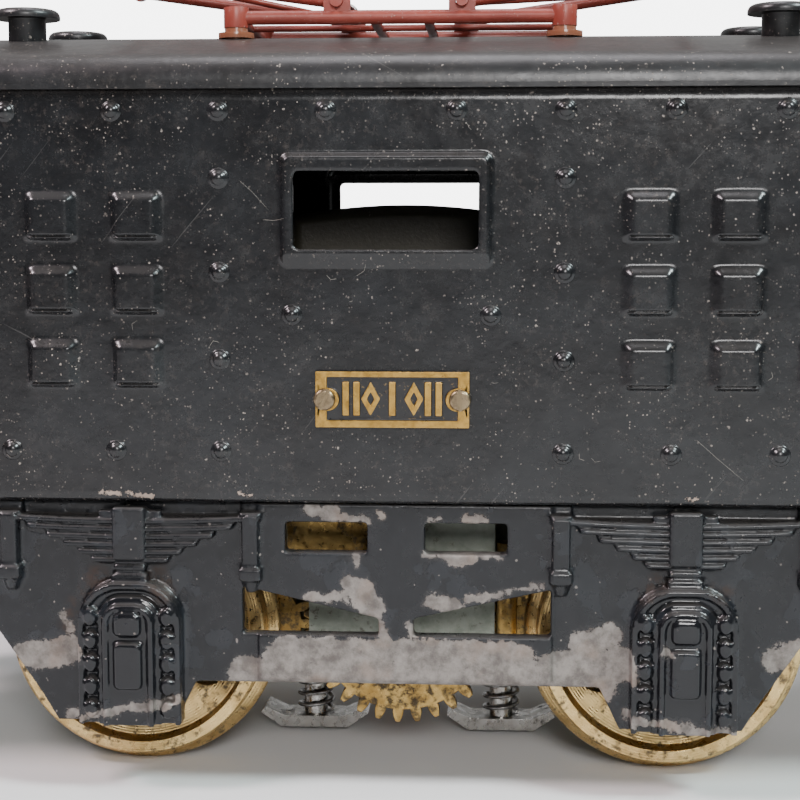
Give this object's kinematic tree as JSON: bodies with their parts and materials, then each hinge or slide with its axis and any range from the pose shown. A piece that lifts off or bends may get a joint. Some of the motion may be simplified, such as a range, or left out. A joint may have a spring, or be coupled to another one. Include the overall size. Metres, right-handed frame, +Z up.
{
  "type": "model electric locomotive",
  "caption": "Box-cab model electric locomotive on two axles: pressed body, cast side frames, brass wheels, geared motor, pickup shoes, couplers and a diamond pantograph",
  "frame": {"origin": "on the plane the wheel flanges stand on, midway between the axles and the wheels", "axes": "+X towards the front coupler, -Y the side seen first, +Z up"},
  "size_m": [0.194, 0.0624, 0.1101],
  "materials": {
    "body_paint": "satin black enamel, dusty",
    "roof_paint": "satin black enamel",
    "casting_paint": "gloss black enamel, flaking",
    "plate_brass": "brass with a black field",
    "wheel_brass": "turned brass",
    "gear_brass": "stamped brass, oily",
    "screw_steel": "nickelled steel",
    "plate_steel": "greenish grey steel sheet",
    "shaft_steel": "ground steel",
    "lamination_steel": "laminated steel",
    "coil_tape": "varnished black cotton tape",
    "copper": "copper",
    "carbon": "carbon",
    "fibre": "brown vulcanised fibre",
    "porcelain": "brown glaze",
    "lens_glass": "clear glass",
    "bulb_glass": "clear glass",
    "rail_wire": "nickelled wire",
    "panto_steel": "dull red enamel",
    "spring_steel": "spring wire"
  },
  "bodies": {
    "chassis": {"side_panel_near": "body_paint", "side_panel_far": "body_paint", "end_panels": "body_paint", "roof": "roof_paint", "number_plates": "plate_brass", "number_plate_screws": "screw_steel", "handrails": "rail_wire", "headlight_housings": "roof_paint", "headlight_lenses": "lens_glass", "headlight_bulbs": "bulb_glass", "roof_ventilators": "roof_paint", "pantograph_base": "panto_steel", "pantograph_insulators": "porcelain", "pantograph_springs": "spring_steel", "floor_plate": "plate_steel", "side_frames": "casting_paint", "end_beams": "casting_paint", "chassis_screws": "screw_steel", "coupler_pins": "screw_steel", "motor_plate_near": "plate_steel", "motor_plate_far": "plate_steel", "bearing_bracket": "plate_steel", "feed_contacts": "gear_brass", "plate_pillars": "screw_steel", "pillar_screws": "screw_steel", "gear_studs": "shaft_steel", "field_core": "lamination_steel", "field_coil": "coil_tape", "brush_plate": "fibre", "brush_tubes": "gear_brass", "brushes": "carbon", "brush_springs": "spring_steel", "pickup_plate": "fibre", "pickup_spring_front": "spring_steel", "pickup_spring_rear": "spring_steel"},
    "axle_front_set": {"axle_front": "shaft_steel", "wheels_front": "wheel_brass", "axle_gear_front": "gear_brass"},
    "axle_rear_set": {"axle_rear": "shaft_steel", "wheels_rear": "wheel_brass", "axle_gear_rear": "gear_brass"},
    "idler_front": {"idler_gear_front": "gear_brass"},
    "idler_rear": {"idler_gear_rear": "gear_brass"},
    "centre_wheel": {"centre_gear": "gear_brass"},
    "layshaft_set": {"layshaft": "shaft_steel", "reduction_gear": "gear_brass"},
    "armature": {"armature_shaft": "shaft_steel", "armature_core": "lamination_steel", "armature_windings": "copper", "commutator": "copper"},
    "drawbar_front": {"coupler_front": "shaft_steel"},
    "drawbar_rear": {"coupler_rear": "shaft_steel"},
    "shoe_front": {"pickup_shoe_front": "shaft_steel"},
    "shoe_rear": {"pickup_shoe_rear": "shaft_steel"},
    "lever": {"reverse_lever": "screw_steel"},
    "arm_lower_front": {"pantograph_lower_front": "panto_steel"},
    "arm_lower_rear": {"pantograph_lower_rear": "panto_steel"},
    "arm_upper_front": {"pantograph_upper_front": "panto_steel"},
    "arm_upper_rear": {"pantograph_upper_rear": "panto_steel"},
    "collector_head": {"pantograph_head": "panto_steel"}
  },
  "joints": [
    {"name": "axle_front_spin", "type": "hinge", "parent": "chassis", "child": "axle_front_set", "pos_m": [0.034, 0, 0.018], "axis": [0, 1, 0], "continuous": true},
    {"name": "axle_rear_spin", "type": "hinge", "parent": "chassis", "child": "axle_rear_set", "pos_m": [-0.034, 0, 0.018], "axis": [0, 1, 0], "continuous": true},
    {"name": "idler_front_spin", "type": "hinge", "parent": "chassis", "child": "idler_front", "pos_m": [0.0188, -0.0128, 0.018], "axis": [0, 1, 0], "continuous": true},
    {"name": "idler_rear_spin", "type": "hinge", "parent": "chassis", "child": "idler_rear", "pos_m": [-0.0188, -0.0128, 0.018], "axis": [0, 1, 0], "continuous": true},
    {"name": "centre_gear_spin", "type": "hinge", "parent": "chassis", "child": "centre_wheel", "pos_m": [0, -0.0128, 0.018], "axis": [0, 1, 0], "continuous": true},
    {"name": "layshaft_spin", "type": "hinge", "parent": "chassis", "child": "layshaft_set", "pos_m": [0, 0, 0.0352], "axis": [0, 1, 0], "continuous": true},
    {"name": "armature_spin", "type": "hinge", "parent": "chassis", "child": "armature", "pos_m": [0, 0, 0.0487], "axis": [0, 1, 0], "continuous": true},
    {"name": "coupler_front_swing", "type": "hinge", "parent": "chassis", "child": "drawbar_front", "pos_m": [0.076, 0, 0.024], "axis": [0, 0, 1], "range_deg": [-20, 20]},
    {"name": "coupler_rear_swing", "type": "hinge", "parent": "chassis", "child": "drawbar_rear", "pos_m": [-0.076, 0, 0.024], "axis": [0, 0, 1], "range_deg": [-20, 20]},
    {"name": "shoe_front_slide", "type": "slide", "parent": "chassis", "child": "shoe_front", "axis": [0, 0, 1], "range_m": [0, 0.0022], "stiffness_N_per_m": 60, "springref_m": -0.004, "deforming": ["pickup_spring_front"]},
    {"name": "shoe_rear_slide", "type": "slide", "parent": "chassis", "child": "shoe_rear", "axis": [0, 0, 1], "range_m": [0, 0.0022], "stiffness_N_per_m": 60, "springref_m": -0.004, "deforming": ["pickup_spring_rear"]},
    {"name": "reverse_lever_throw", "type": "hinge", "parent": "chassis", "child": "lever", "pos_m": [-0.058, 0, 0.0346], "axis": [0, 1, 0], "range_deg": [-22, 22]},
    {"name": "pantograph_lift", "type": "hinge", "parent": "chassis", "child": "arm_lower_front", "pos_m": [0.0075, 0, 0.0988], "axis": [0, -1, 0], "range_deg": [0, 48]},
    {"name": "pantograph_rear_lift", "type": "hinge", "parent": "chassis", "child": "arm_lower_rear", "pos_m": [-0.0085, 0, 0.0988], "axis": [0, 1, 0], "range_deg": [0, 48]},
    {"name": "pantograph_front_knuckle", "type": "hinge", "parent": "arm_lower_front", "child": "arm_upper_front", "pos_m": [0.03721, 0, 0.10298], "axis": [0, -1, 0], "range_deg": [-96, 0]},
    {"name": "pantograph_rear_knuckle", "type": "hinge", "parent": "arm_lower_rear", "child": "arm_upper_rear", "pos_m": [-0.03821, 0, 0.10298], "axis": [0, 1, 0], "range_deg": [-96, 0]},
    {"name": "pantograph_head_pivot", "type": "hinge", "parent": "arm_upper_front", "child": "collector_head", "pos_m": [0.0075, 0, 0.10715], "axis": [0, -1, 0], "range_deg": [0, 48]}
  ],
  "couplings": [
    {"joint": "axle_rear_spin", "follows": "axle_front_spin", "ratio": 1},
    {"joint": "idler_front_spin", "follows": "axle_front_spin", "ratio": -1.375},
    {"joint": "idler_rear_spin", "follows": "axle_front_spin", "ratio": -1.375},
    {"joint": "centre_gear_spin", "follows": "axle_front_spin", "ratio": 0.70968},
    {"joint": "layshaft_spin", "follows": "axle_front_spin", "ratio": -1.8333},
    {"joint": "armature_spin", "follows": "axle_front_spin", "ratio": 8.0667},
    {"joint": "pantograph_rear_lift", "follows": "pantograph_lift", "ratio": 1},
    {"joint": "pantograph_front_knuckle", "follows": "pantograph_lift", "ratio": -2},
    {"joint": "pantograph_rear_knuckle", "follows": "pantograph_lift", "ratio": -2},
    {"joint": "pantograph_head_pivot", "follows": "pantograph_lift", "ratio": 1}
  ]
}
